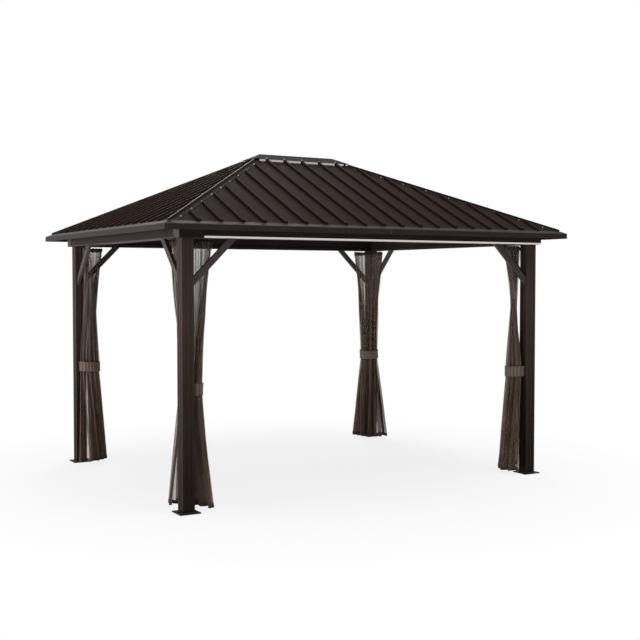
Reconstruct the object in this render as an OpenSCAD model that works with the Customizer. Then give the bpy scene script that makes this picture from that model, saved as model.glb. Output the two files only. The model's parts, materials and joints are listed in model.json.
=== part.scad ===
// Hardtop garden gazebo: four posts on foot plates, a ring of beams, a hipped roof of
// ribbed steel sheets with a raised ridge cap, and a gathered netting at each corner.
// +X runs along the long side, +Y towards the back, +Z up; the origin is on the ground
// at the middle of the plan.

/* [Roof] */
// How far the eaves trim stands out past the beams at the left and right
overhang_x = 165; // [100:5:300]
// How far the eaves trim stands out past the beams at the front and back
overhang_y = 140; // [100:5:300]
// Slope of all four roof faces, in degrees
roof_pitch = 24.8; // [15:0.1:35]
// Height of the sheet's underside over the beams, at the outer edge where it is lowest
sheet_lift = 34.3; // [10:0.1:60]
// Thickness of the roof sheet
sheet_t = 3; // [1:0.5:6]
// Half width, in plan, of the open slot at the top of the roof
vent_half = 55; // [30:1:90]

/* [Sheet ribs] */
// Distance between the ribs of a roof sheet
rib_step = 171; // [120:1:260]
// Width of a rib at its foot
rib_w = 34; // [16:1:60]
// Width of a rib at its top
rib_top_w = 22; // [8:1:40]
// Height of a rib above the sheet, which is also the height of the ridge vent
rib_h = 17; // [10:1:40]
// Gap between the eaves trim's flange and the lower end of a rib, in plan
rib_eave_gap = 5; // [1:1:60]
// Gap between a hip cap and the upper end of a rib, in plan
rib_hip_gap = 4; // [1:1:30]

/* [Roof trim] */
// Height of the eaves trim below the sheet
fascia_h = 37; // [20:1:90]
// Thickness of the eaves trim
fascia_t = 3; // [1:0.5:6]
// Width of the trim's top flange, in plan
fascia_flange = 42; // [20:1:80]
// Half width of a hip cap, in plan, square to the hip
hip_cap_half = 46; // [30:1:80]
// Half width of the raised fold along the middle of a hip cap
hip_fold_half = 9; // [4:1:20]
// Height of that fold above the cap's flanges
hip_fold_h = 12; // [3:0.5:13]
// Thickness of the hip and ridge caps
cap_t = 3; // [1:0.5:6]
// How far the ridge cap laps over the roof sheets, in plan
ridge_cap_lap = 55; // [30:1:120]

/* [Beams] */
// Length of the beam ring over the outer faces, along X
frame_l = 3300; // [2800:10:4500]
// Width of the beam ring over the outer faces, along Y
frame_w = 2630; // [2100:10:3700]
// Width of a beam
beam_w = 80; // [60:1:120]
// Height of a beam
beam_h = 115; // [90:1:160]
// Wall of a beam
beam_wall = 3; // [2:0.5:6]
// Height of the underside of the beams
beam_z = 1955; // [1800:1:2300]
// Height of the lip along the foot of a beam's outer face
lip_h = 15; // [8:1:25]
// How far that lip stands out
lip_out = 4; // [2:0.5:8]

/* [Curtain track] */
// Width of the track on the inner face of a beam
track_w = 24; // [18:1:40]
// Height of the track
track_h = 22; // [16:1:40]
// Wall of the track
track_wall = 3; // [2:0.5:4]
// Width of the slot that the hooks run in
track_slot = 9; // [6:1:14]

/* [Posts] */
// Width of a square post
post_w = 92; // [80:1:140]
// Distance from a beam's outer face to the post's outer face
post_inset = 30; // [0:1:40]
// Wall of a post, measured at the foot of a flute
post_wall = 3; // [2:0.5:6]
// Width of a flute
flute_w = 14; // [8:1:20]
// Depth of a flute
flute_d = 3; // [1:0.5:5]
// Distance between the two flutes of a face
flute_step = 34; // [24:1:40]

/* [Foot plates] */
// How far a square foot plate stands out past its post
plate_margin = 34; // [28:1:80]
// Thickness of a foot plate
plate_t = 8; // [5:1:16]
// Distance from the middle of an anchor hole to the foot plate's edges
anchor_edge = 16; // [12:1:20]
// Diameter of an anchor hole
anchor_d = 12; // [8:1:20]

/* [Braces] */
// Reach of a brace along the beam and down the post
brace_reach = 345; // [250:5:500]
// Width of a brace, square to its slope
brace_w = 46; // [30:1:60]
// Thickness of a brace
brace_t = 25; // [15:1:30]
// Distance from a beam's inner face to the side of a brace
brace_setback = 9.5; // [0:0.5:20]

/* [Rafters] */
// Width of a hip rafter
hip_rafter_w = 50; // [30:1:80]
// Width of a middle rafter
mid_rafter_w = 40; // [30:1:80]
// How far the rafters bear on the beams, at least, in plan
rafter_bearing = 20; // [5:1:60]
// Width of the ridge beam
ridge_beam_w = 80; // [60:1:90]
// Height of the ridge beam
ridge_beam_h = 60; // [40:1:90]
// How far the ridge beam lies below the roof sheet at its ends
ridge_beam_drop = 1; // [1:1:20]

/* [Netting] */
// Clearance between a netting and what is beside or above it
net_gap = 0.3; // [0.3:0.1:5]
// Height of the hem's foot above the ground
net_foot = 26; // [20:1:80]
// Height of the tie band's middle
net_tie_z = 875; // [600:5:1200]
// How far a gathered netting reaches along a front or back track, and along a side track
net_top_reach = [185, 265];
// Depth of a gathered netting square to the track
net_top_depth = 40; // [20:1:46]
// Distance of the tied waist's middle from the post's inner corner, along X and along Y
net_waist_at = 30; // [20:1:60]
// Half width of the tied waist, towards the middle of the gazebo and across it
net_waist = [70, 88];
// Distance of the foot's middle from the post's inner corner, along X and along Y
net_hem_at = 30; // [20:1:120]
// Half width of the foot of the netting, towards the middle of the gazebo and across it
net_hem = [155, 205];

/* [Hidden] */

// Corners, as the signs of X and Y
FL = [-1, -1];
FR = [1, -1];
BL = [-1, 1];
BR = [1, 1];

roof_l = frame_l + 2 * overhang_x;
roof_w = frame_w + 2 * overhang_y;
half_l = roof_l / 2;
half_w = roof_w / 2;
frame_x = frame_l / 2;
frame_y = frame_w / 2;
beam_top = beam_z + beam_h;
post_x = frame_x - post_inset - post_w / 2;
post_y = frame_y - post_inset - post_w / 2;
plate_w = post_w + 2 * plate_margin;
anchor_step = plate_w - 2 * anchor_edge;
// Distance from a beam's outer face to the middle of a brace
brace_inset = beam_w - brace_setback - brace_t / 2;
rise = tan(roof_pitch);
slant = 1 / cos(roof_pitch);
// Height of the underside of the roof sheet at the eaves
eave_z = beam_top + sheet_lift - (min(overhang_x, overhang_y) - fascia_t) * rise;
// Plan distance from the eaves to where the rafters' undersides meet the tops of the beams,
// which reaches the ends of the shorter beams under the hip rafters too
seat_run = max(max(overhang_x, overhang_y) + rafter_bearing,
    overhang_y + beam_w - hip_rafter_w / sqrt(2));
// Depth of the rafters, square to the slope
rafter_d = (sheet_lift + (seat_run - min(overhang_x, overhang_y)) * rise) / slant;
// Half length of the roof's ridge line
ridge_half = abs(half_l - half_w);
// The ridge runs along the longer side
ridge_turn = roof_l >= roof_w ? 0 : 90;
// Plan distance from the eaves edge to the ridge line and to the lip of the vent
run = min(half_l, half_w);
vent_run = run - vent_half;
flange_run = fascia_t + fascia_flange;
rib_from = flange_run + rib_eave_gap;
ridge_cap_from = vent_run - ridge_cap_lap;
// Height of the cutters, which is more than the gazebo's
tall = beam_top + roof_l;
// Levels above the underside of the sheet, square to the slope
rib_top = sheet_t + rib_h;
// The ridge beam runs on past the ridge line far enough to seat the hip rafters, and lies
// under the roof faces at its ends
ridge_beam_over = ridge_beam_w / 2 + hip_rafter_w;
ridge_beam_half = ridge_half + ridge_beam_over;
ridge_beam_top = sheet_z(run - ridge_beam_over) - ridge_beam_drop;
// Half width of the strip that stays free of ribs along a hip
hip_free_half = hip_cap_half + rib_hip_gap;
// How far a rib's foot is let into the sheet it is rolled from
rib_root = 1;
// Extra height of the rib's cutter above its top
rib_over = 5;
// How far a cutter passes through the face it cuts
cut_over = 1;
// Thickness of the slices that a netting's two halves run between
net_slice = 1;

// Height of the sheet's underside at a plan distance from the eaves edge
function sheet_z(d) = eave_z + (d - fascia_t) * rise;

// Points of an ellipse that faces the middle of the gazebo
function gather(at, half, n = 24) = [for (i = [0:n - 1])
    let (a = 360 * i / n, p = half.x * cos(a), q = half.y * sin(a))
    [at + (p - q) / sqrt(2), at + (p + q) / sqrt(2)]];

// Turns what is drawn for the front left corner into the one at corner c
module at_corner(c) {
    mirror([c.x > 0 ? 1 : 0, 0, 0])
    mirror([0, c.y > 0 ? 1 : 0, 0])
    children();
}

// Plan of the roof face whose eaves have length l and whose opposite is w away
module face_plan(l, w) {
    m = min(l, w) / 2;
    polygon(l > w
        ? [[-l / 2, -w / 2], [l / 2, -w / 2], [l / 2 - m, m - w / 2], [m - l / 2, m - w / 2]]
        : [[-l / 2, -w / 2], [l / 2, -w / 2], [0, m - w / 2]]);
}

// A profile of plan distance from the eaves and height, run along a front face's eaves
module along_eaves(l, w) {
    translate([-l / 2, -w / 2, 0])
    rotate([90, 0, 90])
    linear_extrude(l)
    children();
}

// The part of a roof layer, from plan distance d0 to d1 and level t0 to t1, over one face.
// All layers run between the same two ends, so that those that meet share one plane.
module face_layer(l, w, d0, d1, t0, t1) {
    intersection() {
        along_eaves(l, w)
        polygon([[0, sheet_z(0) + t0 * slant], [run, sheet_z(run) + t0 * slant],
            [run, sheet_z(run) + t1 * slant], [0, sheet_z(0) + t1 * slant]]);
        linear_extrude(tall) face_plan(l, w);
        translate([-l / 2, d0 - w / 2, 0]) cube([l, d1 - d0, tall]);
    }
}

// Upright block over the hip of the front left corner, as far as the ridge
module hip_strip(half) {
    translate([-half_l, -half_w, 0])
    rotate([0, 0, 45])
    translate([0, -half, 0])
    cube([run * sqrt(2), 2 * half, tall]);
}

module hip_strips(half) {
    for (c = [FL, FR, BL, BR]) at_corner(c) hip_strip(half);
}

// Ribs of one roof face, square to its eaves
module ribs(l, w, strips_turn) {
    count = floor((l / 2 - rib_from) / rib_step);
    side_lean = (rib_w - rib_top_w) / 2 / rib_h;
    // half widths of the section, one rib height above and below the rib itself
    foot = rib_w / 2 + side_lean * rib_h;
    head = rib_top_w / 2 - side_lean * rib_over;
    difference() {
        intersection() {
            face_layer(l, w, rib_from, vent_run, sheet_t - rib_root, rib_top);
            for (i = [-count:count])
                translate([i * rib_step, -w / 2, sheet_z(0)])
                rotate([roof_pitch, 0, 0])
                rotate([90, 0, 180])
                linear_extrude(run * slant + rib_h)
                polygon([[-foot, sheet_t - rib_h], [foot, sheet_t - rib_h],
                    [head, rib_top + rib_over], [-head, rib_top + rib_over]]);
        }
        rotate([0, 0, strips_turn]) hip_strips(hip_free_half);
    }
}

module roof_sheet(l, w, strips_turn = 0) {
    color("#33282a")
    union() {
        face_layer(l, w, fascia_t, vent_run, 0, sheet_t);
        ribs(l, w, strips_turn);
    }
}

// A top flange on the sheet and a drop leg outside its edge
module eaves_trim(l, w) {
    leg_top = sheet_z(0) + (sheet_t + fascia_t / 2) * slant;
    color("#4a4440")
    union() {
        face_layer(l, w, 0, flange_run, sheet_t, sheet_t + fascia_t);
        intersection() {
            along_eaves(l, w)
            translate([0, eave_z - fascia_h])
            square([fascia_t, leg_top - eave_z + fascia_h]);
            linear_extrude(tall) face_plan(l, w);
        }
    }
}

// The fold ends at the ridge cap's edge, and the flanges run on under it
module hip_cap(c) {
    color("#3a3432")
    at_corner(c)
    union() {
        intersection() {
            hip_strip(hip_cap_half);
            hip_cap_layers(vent_run, sheet_t, sheet_t + cap_t);
        }
        intersection() {
            hip_strip(hip_fold_half);
            hip_cap_layers(ridge_cap_from, sheet_t, sheet_t + cap_t + hip_fold_h);
        }
    }
}

// The two roof layers that meet at the front left hip, from the eaves trim to plan distance d
module hip_cap_layers(d, t0, t1) {
    intersection() {
        union() {
            face_layer(roof_l, roof_w, flange_run, d, t0, t1);
            rotate([0, 0, -90]) face_layer(roof_w, roof_l, flange_run, d, t0, t1);
        }
        translate([-half_l, -half_w, 0]) cube([half_l, half_w, tall]);
    }
}

module ridge_cap() {
    color("#3a3432")
    for (turn = [0, 180]) rotate([0, 0, turn]) {
        face_layer(roof_l, roof_w, ridge_cap_from, run, rib_top, rib_top + cap_t);
        rotate([0, 0, -90])
        face_layer(roof_w, roof_l, ridge_cap_from, run, rib_top, rib_top + cap_t);
    }
}

// Section of a beam, as distance inward from its outer face and height
module beam_section() {
    difference() {
        union() {
            translate([0, beam_z]) square([beam_w, beam_h]);
            translate([-lip_out, beam_z]) square([lip_out + beam_wall, lip_h]);
        }
        translate([beam_wall, beam_z + beam_wall])
        square([beam_w - 2 * beam_wall, beam_h - 2 * beam_wall]);
    }
}

// Section of the curtain track on the inner face of a beam
module track_section() {
    translate([beam_w, beam_z])
    difference() {
        square([track_w, track_h]);
        translate([0, track_wall]) square([track_w - track_wall, track_h - 2 * track_wall]);
        translate([(track_w - track_wall - track_slot) / 2, -cut_over])
        square([track_slot, track_wall + 2 * cut_over]);
    }
}

// A beam whose outer face is at -out, with a track that is shorter at each end
module beam(length, out, track_length) {
    color("#2f2724")
    union() {
        translate([-length / 2, -out, 0])
        rotate([90, 0, 90])
        linear_extrude(length) beam_section();
        translate([-track_length / 2, -out, 0])
        rotate([90, 0, 90])
        linear_extrude(track_length) track_section();
    }
}

module long_beam() {
    beam(frame_l, frame_y, frame_l - 2 * beam_w);
}

module short_beam() {
    rotate([0, 0, -90])
    beam(frame_w - 2 * beam_w, frame_x, frame_w - 2 * (beam_w + track_w));
}

module post(c) {
    bore = post_w - 2 * (post_wall + flute_d);
    color("#3b3331")
    translate([c.x * post_x, c.y * post_y, plate_t])
    linear_extrude(beam_z - plate_t)
    difference() {
        square(post_w, center = true);
        square(bore, center = true);
        for (turn = [0, 90, 180, 270], side = [-1, 1])
            rotate(turn)
            translate([side * flute_step / 2, (post_w - flute_d + cut_over) / 2])
            square([flute_w, flute_d + cut_over], center = true);
    }
}

module foot_plate(c) {
    color("#241f1e")
    translate([c.x * post_x, c.y * post_y, 0])
    difference() {
        translate([-plate_w / 2, -plate_w / 2, 0]) cube([plate_w, plate_w, plate_t]);
        for (sx = [-1, 1], sy = [-1, 1])
            translate([sx * anchor_step / 2, sy * anchor_step / 2, -cut_over])
            cylinder(d = anchor_d, h = plate_t + 2 * cut_over, $fn = 48);
    }
}

// Outline of a brace, from the corner of post and beam
module brace_outline() {
    notch = brace_reach - brace_w * sqrt(2);
    polygon([[0, -brace_reach], [brace_reach, 0], [notch, 0], [0, -notch]]);
}

module brace_x(c) {
    color("#2f2724")
    at_corner(c)
    translate([post_w / 2 - post_x, brace_inset + brace_t / 2 - frame_y, beam_z])
    rotate([90, 0, 0])
    linear_extrude(brace_t) brace_outline();
}

module brace_y(c) {
    color("#2f2724")
    at_corner(c)
    translate([brace_inset - brace_t / 2 - frame_x, post_w / 2 - post_y, beam_z])
    rotate([90, 0, 90])
    linear_extrude(brace_t) brace_outline();
}

// What the rafters may not enter: above the sheets, outside the beams, and the beams
module rafter_cuts() {
    difference() {
        translate([-half_l, -half_w, 0]) cube([roof_l, roof_w, tall]);
        translate([-frame_x, -frame_y, beam_top]) cube([frame_l, frame_w, tall]);
    }
    ridge_beam_block();
}

module ridge_beam_block() {
    rotate([0, 0, ridge_turn])
    translate([-ridge_beam_half, -ridge_beam_w / 2, ridge_beam_top - ridge_beam_h])
    cube([2 * ridge_beam_half, ridge_beam_w, ridge_beam_h]);
}

// The space over the ridge beam, where no rafter goes
module ridge_gap() {
    rotate([0, 0, ridge_turn])
    translate([-ridge_beam_half, -ridge_beam_w / 2, 0])
    cube([2 * ridge_beam_half, ridge_beam_w, tall]);
}

module middle_rafter(l, w, turn) {
    color("#2f2724")
    difference() {
        intersection() {
            face_layer(l, w, fascia_t, run, -rafter_d, 0);
            translate([-mid_rafter_w / 2, -w / 2, 0]) cube([mid_rafter_w, w / 2, tall]);
        }
        rotate([0, 0, turn]) {
            rafter_cuts();
            ridge_gap();
        }
    }
}

module hip_rafter(c) {
    color("#2f2724")
    at_corner(c)
    difference() {
        intersection() {
            hip_strip(hip_rafter_w / 2);
            union() {
                face_layer(roof_l, roof_w, fascia_t, run, -rafter_d, 0);
                rotate([0, 0, -90]) face_layer(roof_w, roof_l, fascia_t, run, -rafter_d, 0);
            }
        }
        rafter_cuts();
        ridge_gap();
    }
}

module ridge_beam() {
    color("#2f2724") ridge_beam_block();
}

// Gathered netting at the front left corner, drawn from the post's inner edge
module netting(c) {
    top = beam_z - net_gap;
    brace_side = post_inset + post_w - brace_inset - brace_t / 2;
    track_mid = post_inset + post_w - beam_w - track_w / 2;
    outer = min(track_mid + net_top_depth / 2, brace_side - net_gap);
    color("#5c4a40")
    at_corner(c)
    translate([post_w / 2 - post_x, post_w / 2 - post_y, 0])
    difference() {
        union() {
            hull() {
                translate([0, 0, top - net_slice])
                linear_extrude(net_slice)
                polygon([[-outer, -outer], [net_top_reach.x, -outer],
                    [net_top_reach.x, net_top_depth - outer],
                    [net_top_depth - outer, net_top_reach.y],
                    [-outer, net_top_reach.y]]);
                translate([0, 0, net_tie_z])
                linear_extrude(net_slice) polygon(gather(net_waist_at, net_waist));
            }
            hull() {
                translate([0, 0, net_tie_z])
                linear_extrude(net_slice) polygon(gather(net_waist_at, net_waist));
                translate([0, 0, net_foot])
                linear_extrude(net_slice) polygon(gather(net_hem_at, net_hem));
            }
        }
        translate([-post_w - net_gap, -post_w - net_gap, 0])
        cube([post_w + 2 * net_gap, post_w + 2 * net_gap, tall]);
    }
}

post(FL);  // front_left_post
post(FR);  // front_right_post
post(BL);  // back_left_post
post(BR);  // back_right_post
foot_plate(FL);  // front_left_foot_plate
foot_plate(FR);  // front_right_foot_plate
foot_plate(BL);  // back_left_foot_plate
foot_plate(BR);  // back_right_foot_plate
long_beam();  // front_beam
mirror([0, 1, 0]) long_beam();  // back_beam
short_beam();  // left_beam
mirror([1, 0, 0]) short_beam();  // right_beam
brace_x(FL);  // front_left_brace_x
brace_x(FR);  // front_right_brace_x
brace_x(BL);  // back_left_brace_x
brace_x(BR);  // back_right_brace_x
brace_y(FL);  // front_left_brace_y
brace_y(FR);  // front_right_brace_y
brace_y(BL);  // back_left_brace_y
brace_y(BR);  // back_right_brace_y
hip_rafter(FL);  // front_left_hip_rafter
hip_rafter(FR);  // front_right_hip_rafter
hip_rafter(BL);  // back_left_hip_rafter
hip_rafter(BR);  // back_right_hip_rafter
middle_rafter(roof_l, roof_w, 0);  // front_rafter
mirror([0, 1, 0]) middle_rafter(roof_l, roof_w, 0);  // back_rafter
rotate([0, 0, -90]) middle_rafter(roof_w, roof_l, 90);  // left_rafter
rotate([0, 0, 90]) middle_rafter(roof_w, roof_l, -90);  // right_rafter
ridge_beam();
roof_sheet(roof_l, roof_w);  // front_roof_sheet
mirror([0, 1, 0]) roof_sheet(roof_l, roof_w);  // back_roof_sheet
rotate([0, 0, -90]) roof_sheet(roof_w, roof_l, 90);  // left_roof_sheet
rotate([0, 0, 90]) roof_sheet(roof_w, roof_l, -90);  // right_roof_sheet
hip_cap(FL);  // front_left_hip_cap
hip_cap(FR);  // front_right_hip_cap
hip_cap(BL);  // back_left_hip_cap
hip_cap(BR);  // back_right_hip_cap
ridge_cap();
eaves_trim(roof_l, roof_w);  // front_eaves_trim
mirror([0, 1, 0]) eaves_trim(roof_l, roof_w);  // back_eaves_trim
rotate([0, 0, -90]) eaves_trim(roof_w, roof_l);  // left_eaves_trim
rotate([0, 0, 90]) eaves_trim(roof_w, roof_l);  // right_eaves_trim
netting(FL);  // front_left_netting
netting(FR);  // front_right_netting
netting(BL);  // back_left_netting
netting(BR);  // back_right_netting
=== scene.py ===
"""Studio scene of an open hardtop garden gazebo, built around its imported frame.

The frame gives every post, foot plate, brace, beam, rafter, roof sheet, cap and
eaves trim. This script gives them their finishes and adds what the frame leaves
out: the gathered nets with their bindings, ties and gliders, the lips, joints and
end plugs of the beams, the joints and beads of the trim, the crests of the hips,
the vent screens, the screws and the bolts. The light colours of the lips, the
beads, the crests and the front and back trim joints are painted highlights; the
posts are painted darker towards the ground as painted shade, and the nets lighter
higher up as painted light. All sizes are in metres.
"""

from __future__ import annotations

import json
import logging
import math
from dataclasses import dataclass, field
from enum import Enum
from itertools import product

import bmesh
import bpy
import numpy as np
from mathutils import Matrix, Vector
from mathutils.bvhtree import BVHTree

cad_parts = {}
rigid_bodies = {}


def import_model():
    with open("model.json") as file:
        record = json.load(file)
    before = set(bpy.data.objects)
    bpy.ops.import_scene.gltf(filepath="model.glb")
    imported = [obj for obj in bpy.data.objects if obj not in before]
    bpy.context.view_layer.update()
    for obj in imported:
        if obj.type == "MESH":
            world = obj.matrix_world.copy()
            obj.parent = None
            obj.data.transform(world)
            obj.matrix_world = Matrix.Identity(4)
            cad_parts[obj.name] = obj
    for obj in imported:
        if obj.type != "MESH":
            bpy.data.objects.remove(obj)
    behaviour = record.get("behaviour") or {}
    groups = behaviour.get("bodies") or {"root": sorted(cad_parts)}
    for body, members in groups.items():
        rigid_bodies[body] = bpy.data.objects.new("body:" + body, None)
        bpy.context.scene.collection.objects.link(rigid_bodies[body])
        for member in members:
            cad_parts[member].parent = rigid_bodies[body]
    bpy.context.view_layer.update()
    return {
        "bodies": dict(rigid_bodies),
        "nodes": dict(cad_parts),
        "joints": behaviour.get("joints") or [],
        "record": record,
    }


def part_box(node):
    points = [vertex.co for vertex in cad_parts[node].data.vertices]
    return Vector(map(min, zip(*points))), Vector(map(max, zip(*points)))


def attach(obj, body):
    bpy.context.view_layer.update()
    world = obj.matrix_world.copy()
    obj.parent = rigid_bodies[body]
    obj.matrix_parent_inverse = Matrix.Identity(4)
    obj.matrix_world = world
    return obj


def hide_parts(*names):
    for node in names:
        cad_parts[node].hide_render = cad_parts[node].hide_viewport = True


LOG = logging.getLogger("gazebo")
MM = 0.001
Pair = tuple[float, float]
Point = tuple[float, float, float]
Spot = tuple[Vector, Vector]
Tree = bpy.types.NodeTree
Node = bpy.types.Node
Socket = bpy.types.NodeSocket
Material = bpy.types.Material
Piece = bpy.types.Object

BUMP = "ShaderNodeBump"
MATH = "ShaderNodeMath"
MIX = "ShaderNodeMix"
NOISE = "ShaderNodeTexNoise"
PRINCIPLED = "ShaderNodeBsdfPrincipled"
RANGE = "ShaderNodeMapRange"


class Side(Enum):
    """A side of the plan: its name, the axis it faces along, and which way."""

    FRONT = ("front", 1, -1)
    BACK = ("back", 1, 1)
    LEFT = ("left", 0, -1)
    RIGHT = ("right", 0, 1)

    @property
    def label(self) -> str:
        """The side's word in the names of nodes."""
        return self.value[0]

    @property
    def axis(self) -> int:
        """The axis that the side faces along, 0 for X and 1 for Y."""
        return self.value[1]

    @property
    def sign(self) -> int:
        """The sign of that axis away from the gazebo."""
        return self.value[2]

    @property
    def is_long(self) -> bool:
        """Whether it is the front or the back."""
        return self.axis == 1

    def face(self, low: Vector, high: Vector) -> float:
        """Gives the place of a box's outer face on its axis.

        Args:
            low: The box's lowest corner.
            high: Its highest corner.

        Returns:
            The X or the Y of the face.
        """
        return (high if self.sign > 0 else low)[self.axis]


class Corner(Enum):
    """A corner of the plan: its name and the signs of its X and Y."""

    FRONT_LEFT = ("front_left", -1, -1)
    FRONT_RIGHT = ("front_right", 1, -1)
    BACK_LEFT = ("back_left", -1, 1)
    BACK_RIGHT = ("back_right", 1, 1)

    @property
    def label(self) -> str:
        """The corner's words in the names of nodes."""
        return self.value[0]

    @property
    def signs(self) -> tuple[int, int]:
        """The signs of the corner's X and Y."""
        return self.value[1], self.value[2]

    @property
    def inward(self) -> Vector:
        """The level vector from the corner along its hip."""
        return Vector((-self.signs[0], -self.signs[1], 0)) / math.sqrt(2)

    @property
    def square(self) -> Vector:
        """The level vector square to the hip."""
        return Vector((self.signs[1], -self.signs[0], 0)) / math.sqrt(2)

    def pick(self, low: Vector, high: Vector, outer: bool) -> Vector:
        """Picks the upright edge of a box that lies furthest out, or in, at this corner.

        Args:
            low: The box's lowest corner.
            high: Its highest corner.
            outer: Whether it is the outer edge.

        Returns:
            The edge's place on the ground.
        """
        places = [(high if (sign > 0) == outer else low)[i] for i, sign in enumerate(self.signs)]
        return Vector((*places, 0))


class Fall(Enum):
    """The level axis that a slope falls along, with the squash that draws streaks down it."""

    ALONG_X = (1.5, 26.0, 1.5)
    ALONG_Y = (26.0, 1.5, 1.5)


def linear(colour: str) -> tuple[float, float, float, float]:
    """Turns an sRGB hex colour into the linear colour that a shader takes.

    Args:
        colour: The colour as "#rrggbb".

    Returns:
        Red, green and blue in linear light, and an alpha of 1.
    """
    parts = [int(colour[i : i + 2], 16) / 255 for i in (1, 3, 5)]
    return (*(c / 12.92 if c <= 0.04045 else ((c + 0.055) / 1.055) ** 2.4 for c in parts), 1.0)


def add_node(
    tree: Tree, kind: str, sockets: dict | tuple = (), **settings: object
) -> Node:
    """Adds a node with its settings, socket values and links.

    Args:
        tree: The node tree to add to.
        kind: The node's type name.
        sockets: Values, sockets to link or lists of sockets, in the order of the
            node's inputs or by their names or numbers.
        **settings: Properties of the node itself.

    Returns:
        The new node.
    """
    node = tree.nodes.new(kind)
    for name, value in settings.items():
        setattr(node, name, value)
    for key, value in sockets.items() if isinstance(sockets, dict) else enumerate(sockets):
        for item in value if isinstance(value, list) else [value]:
            if isinstance(item, Socket):
                tree.links.new(item, node.inputs[key])
            else:
                node.inputs[key].default_value = item
    return node


@dataclass(frozen=True)
class Finish:
    """A finish of the gazebo.

    Attributes:
        name: The material's name.
        colour: Its main colour.
    """

    name: str
    colour: str

    def build(self) -> Material:
        """Makes the material.

        Returns:
            The finished material.
        """
        material = bpy.data.materials.new(self.name)
        material.use_nodes = True
        tree = material.node_tree
        tree.nodes.clear()
        place = add_node(tree, "ShaderNodeTexCoord").outputs["Object"]
        shader = self.shader(tree, place)
        add_node(tree, "ShaderNodeOutputMaterial", (shader.outputs[0],))
        return material

    def shader(self, tree: Tree, place: Socket) -> Node:
        """Makes the nodes of the surface.

        Args:
            tree: The material's node tree.
            place: The point's place on the object.

        Returns:
            The node that gives the surface.
        """
        raise NotImplementedError


@dataclass(frozen=True)
class PowderCoat(Finish):
    """Polyester powder coat baked on aluminium or steel.

    It has a soft satin sheen, a faint orange-peel skin and a thin film of dust.
    Where a foot colour is given, it is painted darker towards the ground as painted shade.

    Attributes:
        dusty: The coat under its film of dust.
        foot: The colour of the painted shade near the ground, if any.
        roughness: The middle roughness.
        sheen_level: The shader's specular level.
        peel_mm: Width of an orange-peel dimple, about 1 mm, drawn wider so that it shows.
        cloud_mm: Width of a patch of dust.
        foot_shade_heights: Heights up to which the painted shade is full, and at which it ends.
        foot_shade: The painted shade's full strength.
    """

    dusty: str
    foot: str | None = None
    roughness: float = 0.5
    sheen_level: float = 0.09
    peel_mm: float = 5.0
    cloud_mm: float = 240.0
    foot_shade_heights: Pair = (0.2, 1.5)
    foot_shade: float = 0.95

    def shader(self, tree: Tree, place: Socket) -> Node:
        """Makes the nodes of the surface.

        Args:
            tree: The material's node tree.
            place: The point's place on the object.

        Returns:
            The node that gives the surface.
        """
        cloud, peel = (
            add_node(tree, NOISE, {"Vector": place, "Scale": 1000 / mm, "Detail": more}).outputs[0]
            for mm, more in ((self.cloud_mm, 5.0), (self.peel_mm, 2.0))
        )
        dust = add_node(tree, RANGE, (cloud, 0.35, 0.72)).outputs[0]
        coats = {0: dust, 6: linear(self.colour), 7: linear(self.dusty)}
        colour = add_node(tree, MIX, coats, data_type="RGBA").outputs[2]
        # Towards the ground the colour is painted darker, as painted shade.
        if self.foot:
            height = add_node(tree, "ShaderNodeSeparateXYZ", (place,)).outputs["Z"]
            foot_shade = add_node(tree, RANGE, (height, *self.foot_shade_heights, self.foot_shade, 0.0)).outputs[0]
            coats = {0: foot_shade, 6: colour, 7: linear(self.foot)}
            colour = add_node(tree, MIX, coats, data_type="RGBA").outputs[2]
        rough = (cloud, 0.3, 0.75, self.roughness - 0.05, self.roughness + 0.08)
        skin = {"Height": peel, "Strength": 0.10, "Distance": 0.4 * MM}
        values = {
            "Base Color": colour,
            "Roughness": add_node(tree, RANGE, rough).outputs[0],
            "Normal": add_node(tree, BUMP, skin).outputs[0],
            "Specular IOR Level": self.sheen_level,
        }
        return add_node(tree, PRINCIPLED, values)


@dataclass(frozen=True)
class CoilCoat(Finish):
    """Polyester coil coat on rolled steel sheet.

    Rain leaves faint streaks down the slope, and the coat has a fine emboss.

    Attributes:
        fall: The axis that the slope falls along.
        streak: The coat where a streak has dried.
        roughness: The middle roughness.
        sheen_level: The shader's specular level.
        streak_mm: Width of a rain streak.
        emboss_mm: Width of the emboss grain, about 0.5 mm, drawn wider so that it shows.
    """

    fall: Fall
    streak: str
    roughness: float = 0.7
    sheen_level: float = 0.04
    streak_mm: float = 55.0
    emboss_mm: float = 6.0

    def shader(self, tree: Tree, place: Socket) -> Node:
        """Makes the nodes of the surface.

        Args:
            tree: The material's node tree.
            place: The point's place on the object.

        Returns:
            The node that gives the surface.
        """
        across = max(self.fall.value)
        squash = tuple(1000 / self.streak_mm * s / across for s in self.fall.value)
        mapped = add_node(tree, "ShaderNodeMapping", {"Vector": place, "Scale": squash}).outputs[0]
        rain = {"Vector": mapped, "Scale": 1.0, "Detail": 6.0, "Roughness": 0.6}
        streak = add_node(tree, NOISE, rain).outputs[0]
        emboss = {"Vector": place, "Scale": 1000 / self.emboss_mm, "Detail": 1.0}
        grain = add_node(tree, NOISE, emboss).outputs[0]
        skin = {"Height": grain, "Strength": 0.12, "Distance": 0.5 * MM}
        dried = add_node(tree, RANGE, (streak, 0.40, 0.72)).outputs[0]
        coats = {0: dried, 6: linear(self.colour), 7: linear(self.streak)}
        rough = (streak, 0.3, 0.8, self.roughness - 0.06, self.roughness + 0.10)
        values = {
            "Base Color": add_node(tree, MIX, coats, data_type="RGBA").outputs[2],
            "Roughness": add_node(tree, RANGE, rough).outputs[0],
            "Normal": add_node(tree, BUMP, skin).outputs[0],
            "Specular IOR Level": self.sheen_level,
        }
        return add_node(tree, PRINCIPLED, values)


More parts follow.
